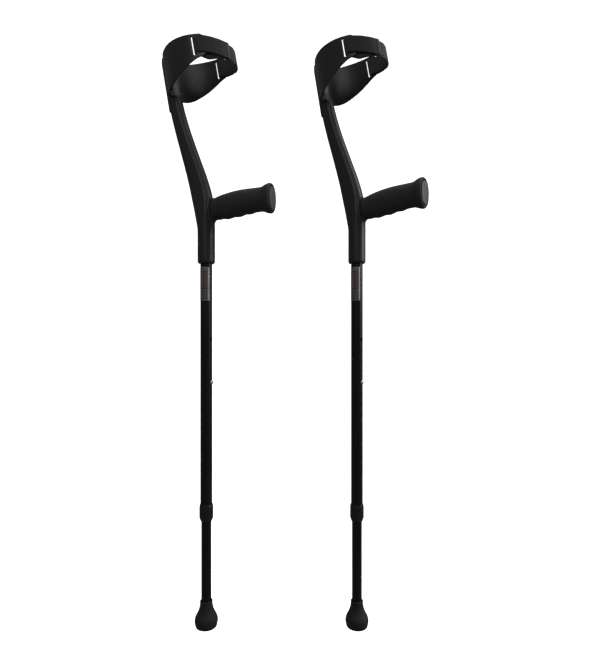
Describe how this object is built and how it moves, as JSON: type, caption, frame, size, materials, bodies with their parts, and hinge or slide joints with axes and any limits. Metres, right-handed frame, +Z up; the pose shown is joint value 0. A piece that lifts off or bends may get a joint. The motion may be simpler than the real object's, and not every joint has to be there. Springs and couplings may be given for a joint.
{
  "type": "forearm crutches",
  "caption": "Pair of black height-adjustable forearm crutches with angled handles, strap-closed arm cuffs, push-button telescopic legs and flared rubber feet.",
  "frame": {"origin": "middle of the left crutch's hand grip, on the handle's centre line", "axes": "+Z up along the tubes, +X from the left crutch to the right one, +Y away from the side the handles lean towards"},
  "size_m": [0.495, 0.1626, 1.087],
  "materials": {
    "black_tube": "satin black powder coat on aluminium",
    "black_moulding": "fine moulded",
    "collar_plastic": "satin moulded",
    "frame_plastic": "satin, lightly textured moulding",
    "cuff_plastic": "satin, lightly textured moulding",
    "cap_plastic": "satin dark grey",
    "grip_rubber": "soft-touch",
    "foot_rubber": "matt rubber",
    "bright_steel": "plated",
    "spring_steel": "tempered strip",
    "dark_steel": "black oxide",
    "strap_webbing": "woven black webbing",
    "hook_tape": "hook tape",
    "loop_tape": "loop tape",
    "label_foil": null
  },
  "bodies": {
    "left_frame": {"left_outer_tube": "black_tube", "left_collar": "collar_plastic", "left_rating_label": "label_foil", "left_tube_plug": "black_moulding", "left_sleeve_screw": "dark_steel", "left_handle_frame": "frame_plastic", "left_grip_sleeve": "grip_rubber", "left_grip_cap": "cap_plastic", "left_grip_screw": "bright_steel", "left_cuff": "cuff_plastic", "left_cuff_screws": "dark_steel", "left_cuff_nuts": "dark_steel", "left_strap": "strap_webbing", "left_loop_patch": "loop_tape"},
    "left_leg": {"left_leg_tube": "black_tube", "left_leg_bush": "black_moulding", "left_foot": "foot_rubber", "left_foot_washer": "bright_steel", "left_spring_heel": "spring_steel"},
    "left_button": {"left_snap_button": "bright_steel", "left_button_leaf": "spring_steel"},
    "left_tab": {"left_strap_tab": "strap_webbing", "left_hook_patch": "hook_tape"},
    "right_frame": {"right_outer_tube": "black_tube", "right_collar": "collar_plastic", "right_rating_label": "label_foil", "right_tube_plug": "black_moulding", "right_sleeve_screw": "dark_steel", "right_handle_frame": "frame_plastic", "right_grip_sleeve": "grip_rubber", "right_grip_cap": "cap_plastic", "right_grip_screw": "bright_steel", "right_cuff": "cuff_plastic", "right_cuff_screws": "dark_steel", "right_cuff_nuts": "dark_steel", "right_strap": "strap_webbing", "right_loop_patch": "loop_tape"},
    "right_leg": {"right_leg_tube": "black_tube", "right_leg_bush": "black_moulding", "right_foot": "foot_rubber", "right_foot_washer": "bright_steel", "right_spring_heel": "spring_steel"},
    "right_button": {"right_snap_button": "bright_steel", "right_button_leaf": "spring_steel"},
    "right_tab": {"right_strap_tab": "strap_webbing", "right_hook_patch": "hook_tape"}
  },
  "joints": [
    {"name": "left_height", "type": "slide", "parent": "left_frame", "child": "left_leg", "axis": [0, 0, 1], "range_m": [-0.16, 0.08]},
    {"name": "left_button_press", "type": "slide", "parent": "left_leg", "child": "left_button", "axis": [-0.9432, 0.3322, 0], "range_m": [0, 0.0036], "stiffness_N_per_m": 1500},
    {"name": "left_tab_peel", "type": "hinge", "parent": "left_frame", "child": "left_tab", "pos_m": [-0.07513, -0.02404, 0.2792], "axis": [0.1719, -0.0605, -0.9833], "range_deg": [0, 110]},
    {"name": "right_height", "type": "slide", "parent": "right_frame", "child": "right_leg", "axis": [0, 0, 1], "range_m": [-0.16, 0.08]},
    {"name": "right_button_press", "type": "slide", "parent": "right_leg", "child": "right_button", "axis": [-0.8039, 0.5948, 0], "range_m": [0, 0.0036], "stiffness_N_per_m": 1500},
    {"name": "right_tab_peel", "type": "hinge", "parent": "right_frame", "child": "right_tab", "pos_m": [0.19464, -0.01875, 0.2792], "axis": [0.1465, -0.1084, -0.9833], "range_deg": [0, 110]},
    {"name": "pair_spread", "type": "slide", "parent": "left_frame", "child": "right_frame", "axis": [1, 0, 0], "range_m": [0, 0.3]}
  ]
}
